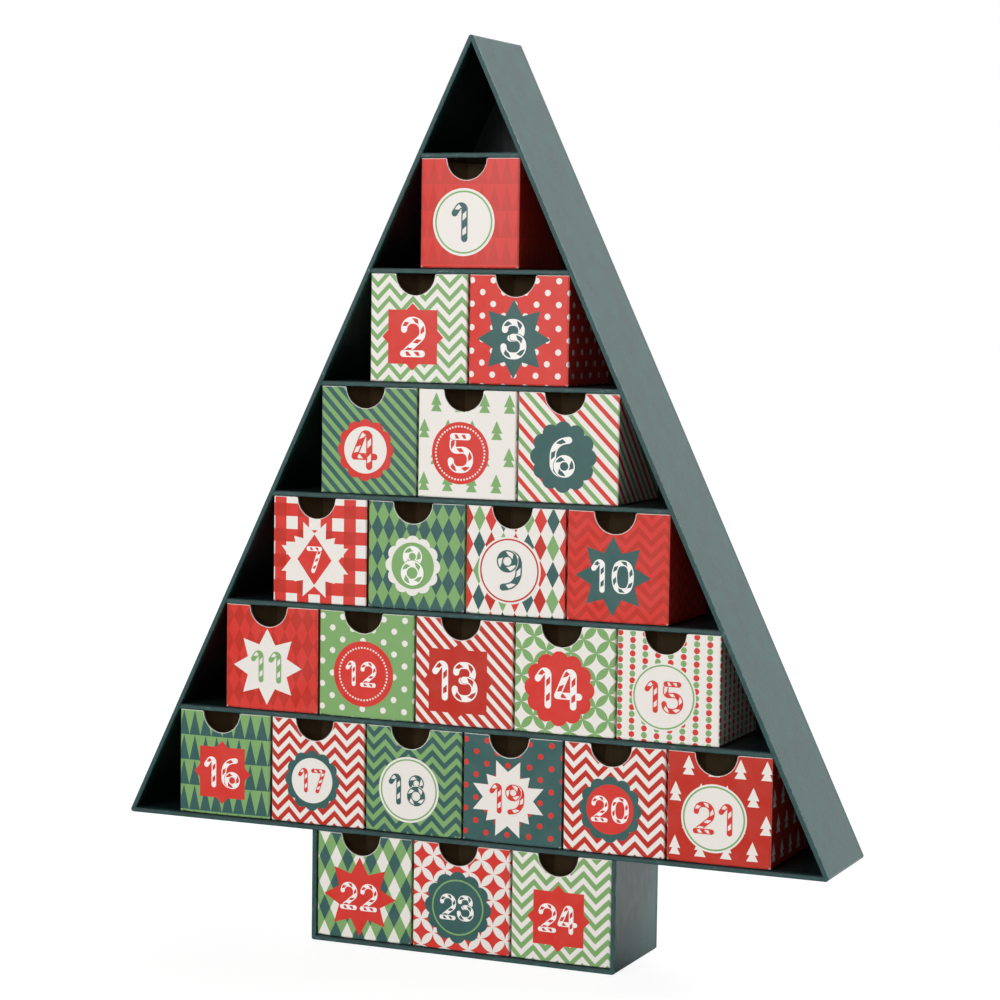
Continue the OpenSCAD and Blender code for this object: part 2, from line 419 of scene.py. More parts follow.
def lined(x, y, z, facing_x, facing_z):
    """1 where shade is painted inside the case: where a point a little in front of the surface is still
    within the outline
    """
    aside = (x + facing_x * AHEAD).size() + MARGIN
    above = z + facing_z * AHEAD
    in_tree = (aside + (above - TREE_FOOT) * SLOPE < TREE_HALF) * (above > TREE_FOOT + MARGIN)
    in_trunk = (aside < TRUNK_HALF) * (above > MARGIN) * (above < TREE_FOOT + MARGIN)
    return in_tree.most(in_trunk) * (y < BACK - MARGIN / 2) * (y - FRONT).ramp(*INSIDE_SHADE_FADE)


def inner_strip(x, z, leans):
    """1 on the strip of a front edge next to the compartments, where shade is painted"""
    if leans:
        across = (TREE_HALF - (z - TREE_FOOT) * SLOPE - x.size()) * math.cos(math.radians(LEAN))
        start, full = LEANING_STRIP
    else:
        across = (z / ROW).fract() * ROW
        start, full = LEVEL_STRIP
    return across.ramp(BOARD * start, BOARD * full)


# %% Wrapped board
WRAP = ink("163d3c")
WRAP_LIGHT = ink("2a5c5a")
WRAP_WEAR_AND_HIGHLIGHT = ink("7aa2a0")
# Painted shade: a near-black green laid inside the case, on the inner strips and over the front edges
PAINTED_SHADE = ink("0f191a")
WRAP_GLOSS = 0.5
WRAP_ROUGH = 0.36
WRAP_RELIEF = 0.05
UPRIGHT = 90
EDGE_DEPTH = 0.6


def wrapped_board(name, degrees):
    """Paper round a board whose length is turned by that angle from level"""
    material, tree, shader = new_material(name)
    place = place_on(tree)
    x, y, z = parts_of(place)
    facing_x, facing_y, facing_z = facing_on(tree)

    # The paper itself: fibres, streaks and clouds of two greens
    along = turned_flat(place, degrees)
    fibres = drawn_out(along, 0.12, 0.75, 3, 0.6)
    streaks = drawn_out(along, 0.35, 2.2, 4, 0.6)
    clouds = drawn_out(along, 0.7, 9, 4, 0.6)
    grain = noise(place, 0.5)
    tone = (fibres - 0.5) + (streaks - 0.5) * 1.2 + (clouds - 0.5) * 1.8 + 0.4
    paper = blend(tone, WRAP, WRAP_LIGHT)

    # Pale wear, with a painted highlight in it, where the face turns into the edge
    rounding_wear_and_highlight = facing_y.size().ramp(0.1, 0.35) * (1 - facing_y.size().ramp(0.8, 0.97))
    rubbed = drawn_out(along, 0.25, 1.6, 3, 0.7).ramp(0.35, 0.7)
    paper = blend(rounding_wear_and_highlight * (rubbed * 0.6 + 0.05), paper, WRAP_WEAR_AND_HIGHLIGHT)

    # The front edge: painted shade makes it a little darker, and darker in the hollows of its creases.
    # Pale scuffs of wear sit on it, most of all where boards join
    edge = facing_y.size().ramp(0.9, 0.98)
    creases = drawn_out(along, 0.3, 1.3, 4, 0.75)
    joint = 1 - (swing((z - BOARD / 2) / ROW) * (ROW / 2)).ramp(1, 4)
    scuffed = creases.ramp(0.58, 0.76) * (0.45 + 0.4 * joint)
    # Painted shade over the whole front edge
    paper = blend(edge * 0.2, paper, PAINTED_SHADE)
    paper = blend(edge * scuffed, paper, WRAP_WEAR_AND_HIGHLIGHT)
    # Painted shade in the hollows of the creases
    paper = blend(edge * (1 - creases.ramp(0.3, 0.46)) * 0.5, paper, PAINTED_SHADE)
    if degrees != UPRIGHT:
        # Painted shade on the strip of the front edge next to the compartments
        strip = inner_strip(x, z, leans=degrees != 0) * (y < FRONT + EDGE_DEPTH)
        paper = blend(strip * 0.85, paper, PAINTED_SHADE)

    # A few pale specks, and an uneven gloss that is weaker on the front edge and near the back
    specks = noise(place, 1.1, 1, 0.4).ramp(0.76, 0.82)
    paper = blend(specks * 0.35, paper, WRAP_WEAR_AND_HIGHLIGHT)
    relief = fibres * 0.35 + streaks * 0.8 + grain * 0.35 + edge * creases * 1.5
    uneven = (streaks - 0.5) * 0.3 + (grain - 0.5) * 0.2 + (clouds - 0.5) * 0.16
    at_back = y.ramp(BACK - 4.5, BACK - 1)
    # Inside the case, painted shade covers the paper
    plug(
        shader,
        base_color=blend(lined(x, y, z, facing_x, facing_z), paper, PAINTED_SHADE),
        roughness=WRAP_ROUGH + uneven + at_back * 0.12 + edge * 0.25,
        normal=bump(relief, WRAP_RELIEF),
    )
    shader.inputs["Specular IOR Level"].default_value = WRAP_GLOSS
    return material


# %% Paper on every board
WRAPS = {
    "level": wrapped_board("paper_level", 0),
    "upright": wrapped_board("paper_upright", UPRIGHT),
    "left_lean": wrapped_board("paper_left_lean", LEAN - UPRIGHT),
    "right_lean": wrapped_board("paper_right_lean", UPRIGHT - LEAN),
}
DIRECTIONS = {
    "left_side": "left_lean",
    "right_side": "right_lean",
    "trunk_left": "upright",
    "trunk_right": "upright",
    "tree_back": "upright",
    "trunk_back": "upright",
}
board_nodes = [name for name in nodes if name not in DRAWERS.values()]
for name in board_nodes:
    nodes[name].data.materials[0] = WRAPS[DIRECTIONS.get(name, "level")]
print("wrapped boards:", len(board_nodes))

# %% [markdown]
# ## The prints
#
# Every drawer wears one of the plain old patterns: zigzag, stripes, dots, diamonds, petals, checks, beads,
# spires and little firs, in red, two greens and cream. All but the dots repeat at the same pitch. Each
# pattern is a mask, 1 on the motif, from u, which runs round the drawer from the front's left edge, and v,
# which runs down from its rim, both in mm. A picture would blur when looked at closely, and a formula never
# does.

# %% Inks
CREAM = ink("f0ebe4")
RED = ink("d83024")
BRICK = ink("c1240d")
RUST = ink("c92d1f")
GREEN = ink("7fab68")
TEAL = ink("305b58")
WHITE = ink("fbf7f3")
print("cream ink:", [round(part, 2) for part in CREAM[:3]])

# %% Zigzags, stripes and bands
REPEAT = 12.4


def zigzag(u, v, dip, band, share=0.5):
    """Level zigzag bands; dip is the u of a low point, and band the v of a band's middle there"""
    fall = v + swing((u - dip) / REPEAT) * (REPEAT / 2)
    return swing((fall - band) / (REPEAT / 2)) < share


def stripes(u, v, start, share=0.5, pitch=REPEAT / 2):
    """Stripes that fall to the right; start is v - u in the middle of one"""
    return swing((v - u - start) / pitch) < share


def bands(u, start, share=0.5):
    """Straight bands across u"""
    return swing((u - start) / REPEAT) < share


def checks(u, v, left, top):
    """Woven checks: cream, red where one band passes, and brick where two cross"""
    upright_band = bands(u, left)
    level_band = bands(v, top)
    once = blend(upright_band.most(level_band), CREAM, RED)
    return blend(upright_band * level_band, once, BRICK)


# %% Dots, petals and beads
DOT_PITCH = 10.9
BEAD_PITCH = 3.1
BEAD = 1.42


def nearest(u, v, left, top, across, down):
    """Distance to the nearest point of a grid"""
    aside = swing((u - left) / across) * (across / 2)
    below = swing((v - top) / down) * (down / 2)
    return (aside * aside + below * below).root()


def dots(u, v, left, top, radius):
    """Dots on a grid with one more in the middle of each of its squares"""
    first = nearest(u, v, left, top, DOT_PITCH, DOT_PITCH)
    second = nearest(u, v, left + DOT_PITCH / 2, top + DOT_PITCH / 2, DOT_PITCH, DOT_PITCH)
    return first.least(second) < radius


def petals(u, v, left, top):
    """The lenses where circles cross"""
    radius = REPEAT / 2
    first = nearest(u, v, left, top, REPEAT, REPEAT)
    second = nearest(u, v, left + radius, top + radius, REPEAT, REPEAT)
    return first.most(second) < radius


def beads(u, v, left, top):
    """Strings of beads, red and green in turn"""
    bead = nearest(u, v, left, top, REPEAT / 2, BEAD_PITCH) < BEAD
    turn = swing((v - top) / (2 * BEAD_PITCH) + swing((u - left) / REPEAT) * 0.5) < 0.5
    return blend(bead, CREAM, blend(turn, GREEN, RED))


# %% Diamonds and spires
def diamonds(u, v, left, top):
    """Slim diamonds that touch at their corners"""
    return swing((u - left) / (REPEAT / 2)) + swing((v - top) / REPEAT) < 1


def spires(u, v, left, foot):
    """Rows of tall triangles that stand on lines REPEAT apart"""
    height = 1 - ((v - foot) / REPEAT).fract()
    return swing((u - left) / (REPEAT / 2)) < 1 - height


def harlequin(u, v, left, top, plain, first, second, third=None, fourth=None):
    """Diamonds in two inks by turns, or in four: two in the odd columns and two in the even ones"""
    shape = diamonds(u, v, left, top)
    column = ((u - left) / (REPEAT / 2) + 0.5).whole()
    row = ((v - top) / REPEAT + 0.5).whole()
    if third is None:
        turn = swing((column + row) / 2) > 0.5
        return blend(shape, plain, blend(turn, first, second))
    turn = swing(((column / 2).whole() + row) / 2) > 0.5
    odd = swing(column / 2) > 0.5
    return blend(shape, plain, blend(odd, blend(turn, first, second), blend(turn, third, fourth)))


# %% Firs
# In mm below the tip: the upper tier's foot, where the skirt starts, where the skirt's slopes would meet, and
# the fir's foot. A flare is how far a tier widens to each side for every mm that it drops.
TIER_FOOT = 5.95
SKIRT_START = 5.9
SKIRT_TIP = 3.85
FIR_FOOT = 8.95
TIER_FLARE = 0.46
SKIRT_FLARE = 0.55


def fir(aside, drop):
    """A little fir of two tiers; drop is the distance below its tip"""
    tier = (aside < drop * TIER_FLARE) * (drop < TIER_FOOT)
    skirt = (aside < (drop - SKIRT_TIP) * SKIRT_FLARE) * (drop > SKIRT_START)
    return tier.most(skirt) * (drop < FIR_FOOT)


def firs(u, v, left, tip):
    """Firs in rows, every other row moved by half a repeat"""
    column = (u - left) / REPEAT
    row = (v - tip) / (2 * REPEAT)
    first = fir(swing(column) * (REPEAT / 2), row.fract() * (2 * REPEAT))
    second = fir(swing(column + 0.5) * (REPEAT / 2), (row + 0.5).fract() * (2 * REPEAT))
    return first.most(second)


# %% The print of every drawer
PRINTS = {
    1: lambda u, v: blend(spires(u, v, 0.45, 11.85), RED, RUST),
    2: lambda u, v: blend(zigzag(u, v, 3.8, 2.3, 0.54), GREEN, CREAM),
    3: lambda u, v: blend(dots(u, v, 1.35, 2.55, 1.45), RED, CREAM),
    4: lambda u, v: blend(stripes(u, v, -0.3), TEAL, GREEN),
    5: lambda u, v: blend(firs(u, v, 9.4, 1.4), CREAM, GREEN),
    6: lambda u, v: blend(
        stripes(u, v, 2.5, 0.23, REPEAT), blend(stripes(u, v, 8.7, 0.23, REPEAT), CREAM, GREEN), RED
    ),
    7: lambda u, v: checks(u, v, 4.1, 6.25),
    8: lambda u, v: blend(diamonds(u, v, 1.75, 6.3), TEAL, GREEN),
    9: lambda u, v: harlequin(u, v, 6.75, 5.6, CREAM, GREEN, TEAL, RED, BRICK),
    10: lambda u, v: blend(zigzag(u, v, 4.0, 4.3), BRICK, RED),
    11: lambda u, v: blend(diamonds(u, v, 1.3, 5.7), RED, BRICK),
    12: lambda u, v: blend(dots(u, v, 1.7, 2.7, 1.5), GREEN, CREAM),
    13: lambda u, v: blend(stripes(u, v, 4.1, 0.48), BRICK, CREAM),
    14: lambda u, v: blend(petals(u, v, 3.55, 5.7), CREAM, GREEN),
    15: lambda u, v: beads(u, v, 1.4, 1.25),
    16: lambda u, v: blend(spires(u, v, 2.2, 12.3), GREEN, TEAL),
    17: lambda u, v: blend(zigzag(u, v, 3.6, 4.2), BRICK, CREAM),
    18: lambda u, v: blend(zigzag(u, v, 4.1, 1.47), TEAL, GREEN),
    19: lambda u, v: blend(dots(u, v, 1.3, 2.8, 1.4), TEAL, RED),
    20: lambda u, v: blend(zigzag(u, v, 4.85, 4.65), BRICK, CREAM),
    21: lambda u, v: blend(firs(u, v, 10.25, 1.5), BRICK, CREAM),
    22: lambda u, v: harlequin(u, v, 4.1, 12.2, GREEN, TEAL, CREAM),
    23: lambda u, v: blend(petals(u, v, 4.6, 6.15), RED, CREAM),
    24: lambda u, v: blend(zigzag(u, v, 5.35, 4.45), GREEN, CREAM),
}
print("prints:", len(PRINTS))

# %% [markdown]
# ## The folded card
#
# A drawer is one sheet of carton, printed on its outside only. Four things show on it: the printed outside,
# the grey-brown reverse, the white core wherever the sheet is cut, and the folds, where the print cracks a
# little and the core shines through. Each could be a mesh of its own, but the sheet is one, so one material
# tells them apart by place. How far a point lies below the outside tells the first two, and the way a cut
# edge faces tells the third.

# %% Card stock
REVERSE = ink("cdb088")
REVERSE_DARK = ink("b5956c")
CORE = ink("efece6")
CARD_GLOSS = 0.3
CARD_ROUGH = 0.4
CARD_RELIEF = 0.012


def card_noise(place):
    """The clouds and the fine grain of the card"""
    return noise(place, 9), noise(place, 0.35, 2, 0.6)


def inked(clouds, colour):
    """An ink that lets a trace of the card through"""
    return blend((clouds - 0.5) * 0.05 + 0.01, colour, CORE)


def card_relief(clouds, grain):
    """The faint waviness of a printed sheet"""
    return bump(grain * 0.5 + clouds * 6, CARD_RELIEF)


# %% Folded card
NOTCH = 10.1
NOTCH_SHIFT = 1.5
SKIN = 0.75 * CARD
TWO_PLIES = 2.2 * CARD
UNDERSIDE = 0.3


def wear(x, y, z, aside, bulge, rub):
    """How much core shows on the outside: along the folds, at the feet of the corners and round the notch"""
    fold_side = (HALF - aside).size().most((y + 0.1).size())
    fold_foot = z.most((y + bulge).size())
    folds = (1 - fold_side.ramp(0.05, 0.6)).most(1 - fold_foot.ramp(0.05, 0.5))
    worn = folds * (rub.ramp(0.3, 0.7) * 0.55 + 0.15)
    corner = ((HALF - aside) * (HALF - aside) + z * z + y * y).root()
    worn = worn.most((1 - corner.ramp(0.4, 1.7)) * rub.ramp(0.3, 0.6) * 0.85)
    from_notch = ((x + NOTCH_SHIFT) * (x + NOTCH_SHIFT) + (z - TALL) * (z - TALL)).root() - NOTCH
    uncut = from_notch.ramp(0.1, 0.42).most(y > 1).least((TALL - z).ramp(0.05, 0.4))
    return worn.most((1 - uncut) * (rub.ramp(0.2, 0.6) * 0.35 + 0.6))


def card(number):
    """The card of one drawer: print, reverse, cut edges and worn folds"""
    material, tree, shader = new_material(f"card_{number:02d}")
    place = place_on(tree)
    facing_y = facing_on(tree)[1]
    x, y, z = (part - start for part, start in zip(parts_of(place), seat(number)))
    aside = x.size()
    bulge = BOW - x * x * (BOW / HALF**2)
    below = (HALF - aside).least(y + bulge).least(DEEP - y).least(z)

    # The print runs round the sides, and on the underside it runs on from the front
    along = y.most(0)
    side_sign = (x > 0) * 2 - 1
    u = x + along * side_sign * (1 - (z < UNDERSIDE)) + HALF
    v = TALL - z + along * (z < UNDERSIDE)
    printed = PRINTS[number](u, v)

    # The reverse lies deeper than the print's share of the card. The core shows on the rim, and wherever a
    # face looks along the front or back panel, as in the notch
    inside = below > SKIN
    across_cut = (facing_y.size() < 0.5) * (aside < HALF - 2) * (z > 1.5)
    at_ends = (y < TWO_PLIES).most(y > DEEP - TWO_PLIES)
    rim = (z > TALL - 0.05).most(across_cut * at_ends)
    bare = rim.most(inside)

    clouds, grain = card_noise(place)
    worn = wear(x, y, z, aside, bulge, noise(place, 1.3, 3, 0.7))
    outside = blend(worn, inked(clouds, printed), CORE)
    reverse = blend((grain - 0.5) * 0.9 + 0.3, REVERSE, REVERSE_DARK)
    plug(
        shader,
        base_color=blend(rim, blend(inside, outside, reverse), CORE),
        roughness=CARD_ROUGH + bare * 0.42 + (clouds - 0.5) * 0.12 + worn * 0.2,
        normal=card_relief(clouds, grain),
    )
    shader.inputs["Specular IOR Level"].default_value = CARD_GLOSS
    return material


for number, name in DRAWERS.items():
    nodes[name].data.materials[0] = card(number)
print("cards:", len(DRAWERS))

# %% [markdown]
# ## Badges
#
# On every front sits a badge: a disc with a thin ring, a scalloped rosette, a star, or a square with a point
# on each side. They are printed too, but they are what the eye reads first, so they are real shapes, a few
# hundredths of a millimetre thick, whose edges stay crisp however near one looks. Each is drawn flat, from a
# circle whose points are moved in and out, is cut into strips, and is then laid on the bowed front.


# %% Ink on card
def ink_material(name, colour):
    """Solid ink on the same satin card"""
    material, tree, shader = new_material(name)
    clouds, grain = card_noise(place_on(tree))
    plug(
        shader,
        base_color=inked(clouds, colour),
        roughness=CARD_ROUGH + (grain - 0.5) * 0.1 + (clouds - 0.5) * 0.12,
        normal=card_relief(clouds, grain),
    )
    shader.inputs["Specular IOR Level"].default_value = CARD_GLOSS
    return material


COLOURS = {"cream": CREAM, "red": RED, "brick": BRICK, "green": GREEN, "teal": TEAL, "white": WHITE}
INKS = {name: ink_material(f"ink_{name}", colour) for name, colour in COLOURS.items()}
INK_ORDER = list(INKS)


def card_slot(ink_name):
    """The record's finish that an ink belongs to"""
    return {"white": "cream", "brick": "red"}.get(ink_name, ink_name) + "_card"


print("inks:", INK_ORDER)

# %% Outlines
# Every outline is a list of angles in degrees and distances from the middle in mm
DISC_POINTS = 72
LOBES = 12
LOBE_STEPS = 10
LOBE_SHARE = 0.255


def disc(radius):
    """A circle: the same radius all round"""
    return [(k * 360 / DISC_POINTS, radius) for k in range(DISC_POINTS)]


def rosette(radius):
    """Twelve lobes, each an arc of a smaller circle"""
    bulge = radius * LOBE_SHARE
    ring = radius - bulge
    step = 2 * math.pi / LOBES
    points = []
    for k in range(LOBES * LOBE_STEPS):
        off = ((k % LOBE_STEPS) / LOBE_STEPS - 0.5) * step
        reach = ring * math.cos(off) + math.sqrt(bulge**2 - (ring * math.sin(off)) ** 2)
        points.append((90 + math.degrees((k // LOBE_STEPS) * step + off), reach))
    return points


def star(tip, notch, points=8):
    """Points and notches by turns"""
    return [(90 + k * 180 / points, notch if k % 2 else tip) for k in range(2 * points)]


def burst():
    """Twelve points: pairs beside the four axes, and one on each diagonal"""
    quarter = ((0, 12.8), (19, 19.0), (31, 11.7), (45, 15.6), (59, 11.7), (71, 19.0))
    return [(90 * q + angle, reach) for q in range(4) for angle, reach in quarter]


def pointed_square(half, reach, width):
    """A square with a small triangle in the middle of each side"""
    flank = math.degrees(math.atan(width / half))
    foot = math.hypot(half, width)
    quarter = ((0, reach), (flank, foot), (45, half * math.sqrt(2)), (90 - flank, foot))
    return [(90 * q + angle, radius) for q in range(4) for angle, radius in quarter]


def diamond(half_wide, half_tall):
    """A diamond, from half its width and half its height"""
    return [(0, half_wide), (90, half_tall), (180, half_wide), (270, half_tall)]


print("points of a disc, a rosette and a star:", [len(shape) for shape in (disc(1), rosette(1), star(2, 1))])

# %% Flat plates
# In mm: a plate's thickness, the step from layer to layer, the air under the lowest, and what counts as flat
SHEET = 0.04
LIFT = 0.05
CLEAR = 0.02
SEAM = 0.002


def thicken(work, layer, centre=(0, 0)):
    """Gives the faces that still lie flat their thickness, and puts them on their layer"""
    unlifted = [point for point in work.verts if abs(point.co.z) < SEAM]
    bmesh.ops.remove_doubles(work, verts=unlifted, dist=SEAM)
    flat = [face for face in work.faces if all(abs(point.co.z) < SEAM for point in face.verts)]
    bottom = {point for face in flat for point in face.verts}
    raised = bmesh.ops.extrude_face_region(work, geom=flat)["geom"]
    top = {item for item in raised if isinstance(item, bmesh.types.BMVert)}
    bmesh.ops.translate(work, verts=list(top), vec=(0, 0, SHEET))
    lift = LIFT * layer + CLEAR
    bmesh.ops.translate(work, verts=list(top | bottom), vec=(centre[0], centre[1], lift))


def lay_plate(work, outline, ink_name, layer, centre=(0, 0), hole=None):
    """A flat plate in the XY plane, from a circle whose points are moved; hole leaves a ring that wide"""
    made = bmesh.ops.create_circle(work, segments=len(outline), radius=1, cap_ends=hole is None)
    points = made["verts"]
    for point, (angle, reach) in zip(points, outline):
        turn = math.radians(angle)
        point.co = (reach * math.cos(turn), reach * math.sin(turn), 0)
    if hole is not None:
        edges = list({edge for point in points for edge in point.link_edges})
        inner = bmesh.ops.extrude_edge_only(work, edges=edges)["geom"]
        points = [item for item in inner if isinstance(item, bmesh.types.BMVert)]
        for point in points:
            point.co *= 1 - hole / point.co.length
    for face in {face for point in points for face in point.link_faces}:
        face.material_index = INK_ORDER.index(ink_name)
    thicken(work, layer, centre)


# %% Inside and outside
def shells_of(work):
    """The faces of each separate solid"""
    left = set(work.faces)
    while left:
        shell, reached = [], [left.pop()]
        while reached:
            face = reached.pop()
            shell.append(face)
            near = {other for edge in face.edges for other in edge.link_faces} & left
            left -= near
            reached += near
        yield shell


def shell_volume(shell):
    """Three times a solid's volume, which is negative if it is inside out"""
    return sum(face.calc_center_median().dot(face.normal) * face.calc_area() for face in shell)


def turn_outward(work):
    """Lets the faces of every solid agree, and then turns round each solid that is inside out"""
    bmesh.ops.recalc_face_normals(work, faces=work.faces[:])
    for shell in shells_of(work):
        if shell_volume(shell) < 0:
            bmesh.ops.reverse_faces(work, faces=shell)


# %% Onto the bowed front
STRIP = 2.0


def wrap_on_front(work, number):
    """Cuts what was drawn flat into strips, bends it to the bowed front and puts it on its drawer"""
    turn_outward(work)
    reach = max(abs(point.co.x) for point in work.verts)
    cuts = int(reach / STRIP)
    for cut in range(-cuts, cuts + 1):
        everything = work.verts[:] + work.edges[:] + work.faces[:]
        bmesh.ops.bisect_plane(work, geom=everything, plane_co=(cut * STRIP, 0, 0), plane_no=(1, 0, 0))
    for point in work.verts:
        point.co.z += BOW * (1 - (point.co.x / HALF) ** 2)
    stand = Matrix.Rotation(math.pi / 2, 3, "X")
    bmesh.ops.rotate(work, verts=work.verts[:], cent=(0, 0, 0), matrix=stand)
    middle = seat(number) + Vector((0, 0, TALL))
    bmesh.ops.translate(work, verts=work.verts[:], vec=middle)
    bmesh.ops.scale(work, verts=work.verts[:], vec=(MM, MM, MM))


# %% [markdown]
# ## Numerals
#
# The numerals are bent sticks of even width with rounded ends and slanting bars in them, like sugar canes. A
# font would be quicker, but it has no bars. So a stick is a strip of grid, three faces wide and many long,
# that is moved onto the numeral's line: the two outer faces are its rim, and the middle one carries the bars.
# The line is a few corner points, each with the radius it is rounded to, so a whole numeral is a handful of
# numbers. Where one stick lies over another, a wider strip in the ink of the ground goes between them, so a
# thin gap shows beside the upper one. Only the two sticks of the 4 run into each other.

# %% Lines with rounded corners
ROUND_STEP = math.radians(9)


def rounded_line(corners, closed=False):
    """Points along a line through corners (x, y, radius), with each corner rounded"""
    count = len(corners)
    line = []
    for k, (x, y, radius) in enumerate(corners):
        here = Vector((x, y))
        if not closed and k in (0, count - 1):
            line.append(here)
            continue
        before = Vector(corners[k - 1][:2]) - here
        after = Vector(corners[(k + 1) % count][:2]) - here
        opening = before.angle(after)
        start = here + before.normalized() * (radius / math.tan(opening / 2))
        halfway = (before.normalized() + after.normalized()).normalized()
        centre = here + halfway * (radius / math.sin(opening / 2))
        turn = math.pi - opening
        steps = max(2, int(turn / ROUND_STEP))
        spoke = start - centre
        sign = 1 if before.cross(after) < 0 else -1
        for step in range(steps + 1):
            angle = sign * turn * step / steps
            line.append(centre + Matrix.Rotation(angle, 2) @ spoke)
    if closed:
        line.append(line[0].copy())
    return line


print("points round one square corner:", len(rounded_line([(0, 1, 0), (0, 0, 0.5), (1, 0, 0)])) - 2)

# %% A line to follow
TINY = 1e-5
PEEK = 0.25


class Track:
    """A line that can be asked for the point and the side direction at any distance along it"""

    def __init__(self, points, closed):
        self.points = [p for k, p in enumerate(points) if k == 0 or (p - points[k - 1]).length > TINY]
        self.closed = closed
        self.marks = [0.0]
        for first, second in zip(self.points, self.points[1:]):
            self.marks.append(self.marks[-1] + (second - first).length)
        self.length = self.marks[-1]

    def at(self, distance):
        """The point at a distance, and the line's direction there"""
        if self.closed:
            distance %= self.length
        k = 0
        while k < len(self.marks) - 2 and self.marks[k + 1] < distance:
            k += 1
        first, second = self.points[k], self.points[k + 1]
        step = (second - first).normalized()
        return first + step * (distance - self.marks[k]), step

    def place(self, distance, aside):
        """The point at a distance along the line, moved aside from it"""
        spot, _ = self.at(distance)
        ahead = self.at(distance + PEEK)[1] + self.at(distance - PEEK)[1]
        ahead.normalize()
        return spot + Vector((-ahead.y, ahead.x)) * aside


# %% The ten numerals
# The lines of each numeral: whether it is closed, and its corners' x, y and radius, all as shares of the
# height between the middles of its top and bottom sticks
NUMERALS = {
    "0": [(True, [(0.13, 0, 0.24), (0.51, 0, 0.24), (0.64, 0.28, 0.7), (0.64, 0.72, 0.7), (0.51, 1, 0.24),
                  (0.13, 1, 0.24), (0, 0.72, 0.7), (0, 0.28, 0.7)])],
    "1": [(False, [(0.0, 0.77, 0), (0.14, 0.97, 0.12), (0.33, 1.055, 0.11), (0.33, 0, 0)])],
    "2": [(False, [(0.02, 0.72, 0), (0.02, 1.0, 0.27), (0.63, 1.0, 0.30), (0.63, 0.52, 0.24),
                   (0.02, 0.0, 0)]),
          (False, [(0.0, 0.0, 0), (0.62, 0, 0)])],
    "3": [(False, [(0.04, 0.78, 0), (0.04, 1.0, 0.21), (0.58, 1.0, 0.24), (0.58, 0.53, 0.22),
                   (0.22, 0.53, 0)]),
          (False, [(0.30, 0.56, 0), (0.64, 0.56, 0.25), (0.64, 0.0, 0.28), (0.0, 0.0, 0.26),
                   (0.0, 0.27, 0)])],
    "4": [(False, [(0.0, 0.30, 0), (0.67, 0.30, 0)]),
          (False, [(0.0, 0.30, 0), (0.30, 1.0, 0.115), (0.50, 1.0, 0.115), (0.50, 0, 0)])],
    "5": [(False, [(0.07, 1.0, 0), (0.05, 0.57, 0.12), (0.64, 0.62, 0.26), (0.64, 0.0, 0.29),
                   (0.0, 0.0, 0.25), (0.0, 0.26, 0)]),
          (False, [(0.07, 1.0, 0), (0.56, 1.0, 0)])],
    "6": [(False, [(0.50, 1.0, 0), (0.0, 0.92, 0.45), (0.0, 0.0, 0.30), (0.30, 0.0, 0)]),
          (True, [(0.13, 0, 0.23), (0.60, 0, 0.23), (0.60, 0.46, 0.23), (0.13, 0.46, 0.23)])],
    "7": [(False, [(0.58, 1.0, 0), (0.24, 0, 0)]),
          (False, [(0.0, 1.0, 0), (0.58, 1.0, 0)])],
    "8": [(True, [(0.09, 0.56, 0.22), (0.53, 0.56, 0.22), (0.53, 1.0, 0.22), (0.09, 1.0, 0.22)]),
          (True, [(0.03, 0, 0.28), (0.59, 0, 0.28), (0.59, 0.56, 0.28), (0.03, 0.56, 0.28)])],
}
NUMERALS["9"] = [(closed, [(0.60 - x, 1 - y, r) for x, y, r in line]) for closed, line in NUMERALS["6"]]


def numeral_width(letter):
    """From the leftmost to the rightmost middle of its sticks, as a share of the same height"""
    return max(x for _, line in NUMERALS[letter] for x, _, _ in line)


print("numerals and their widths:", {letter: numeral_width(letter) for letter in NUMERALS})

# %% Sticks
BAR_SHARE = 0.43
SLANT = -0.95
FINE = 4
CAP_STEPS = 5


def rows_along(track, half, bars):
    """Places along a stick, each with its share of the full width, and whether a bar starts at each"""
    pitch = track.length / bars
    gap = (1 - BAR_SHARE) / 2 * pitch
    rows, barred = [], []
    for bar in range(bars):
        begin = bar * pitch
        for length, has_bar in ((gap, False), (BAR_SHARE * pitch, True), (gap, False)):
            rows += [(begin + length * step / FINE, 1.0) for step in range(FINE)]
            barred += [has_bar] * FINE
            begin += length
    rows.append((track.length, 1.0))
    if not track.closed:
        turns = [math.radians(90 * step / CAP_STEPS) for step in range(CAP_STEPS)]
        cap = [(half * math.cos(turn), math.sin(turn)) for turn in turns]
        rows = [(-out, share) for out, share in cap] + rows
        rows += [(track.length + out, share) for out, share in reversed(cap)]
        barred = [False] * CAP_STEPS + barred + [False] * CAP_STEPS
    return rows, barred


def lay_strip(work, track, bars, offsets, ink_name, bar_ink, layer):
    """A strip along a line: offsets are its long edges' distances from it; bars go between the inner two"""
    half = offsets[-1]
    rows, barred = rows_along(track, half, bars)
    last_row, last_column = len(rows) - 1, len(offsets) - 1
    points = bmesh.ops.create_grid(work, x_segments=last_row, y_segments=last_column, size=1)["verts"]
    for face in {face for point in points for face in point.link_faces}:
        middle = face.calc_center_median()
        column = int((middle.y + 1) / 2 * last_column)
        has_bar = barred[int((middle.x + 1) / 2 * last_row)] and column == 1
        face.material_index = INK_ORDER.index(bar_ink if has_bar else ink_name)
    for point in points:
        distance, share = rows[round((point.co.x + 1) / 2 * last_row)]
        aside = offsets[round((point.co.y + 1) / 2 * last_column)] * share
        room = min(distance, track.length - distance) / (2 * half)
        slant = SLANT * (1 if track.closed else max(0, min(1, room)))
        spot = track.place(distance + slant * aside, aside)
        point.co = (spot.x, spot.y, 0)
    thicken(work, layer)


# %% Numbers of one or two numerals
STICK_SHARE = 0.17
RIM_SHARE = 0.2
BAR_PITCH_SHARE = 0.35
HALO = 0.28
PLAIN_CROSSING = "4"
FIRST_LAYER = 2


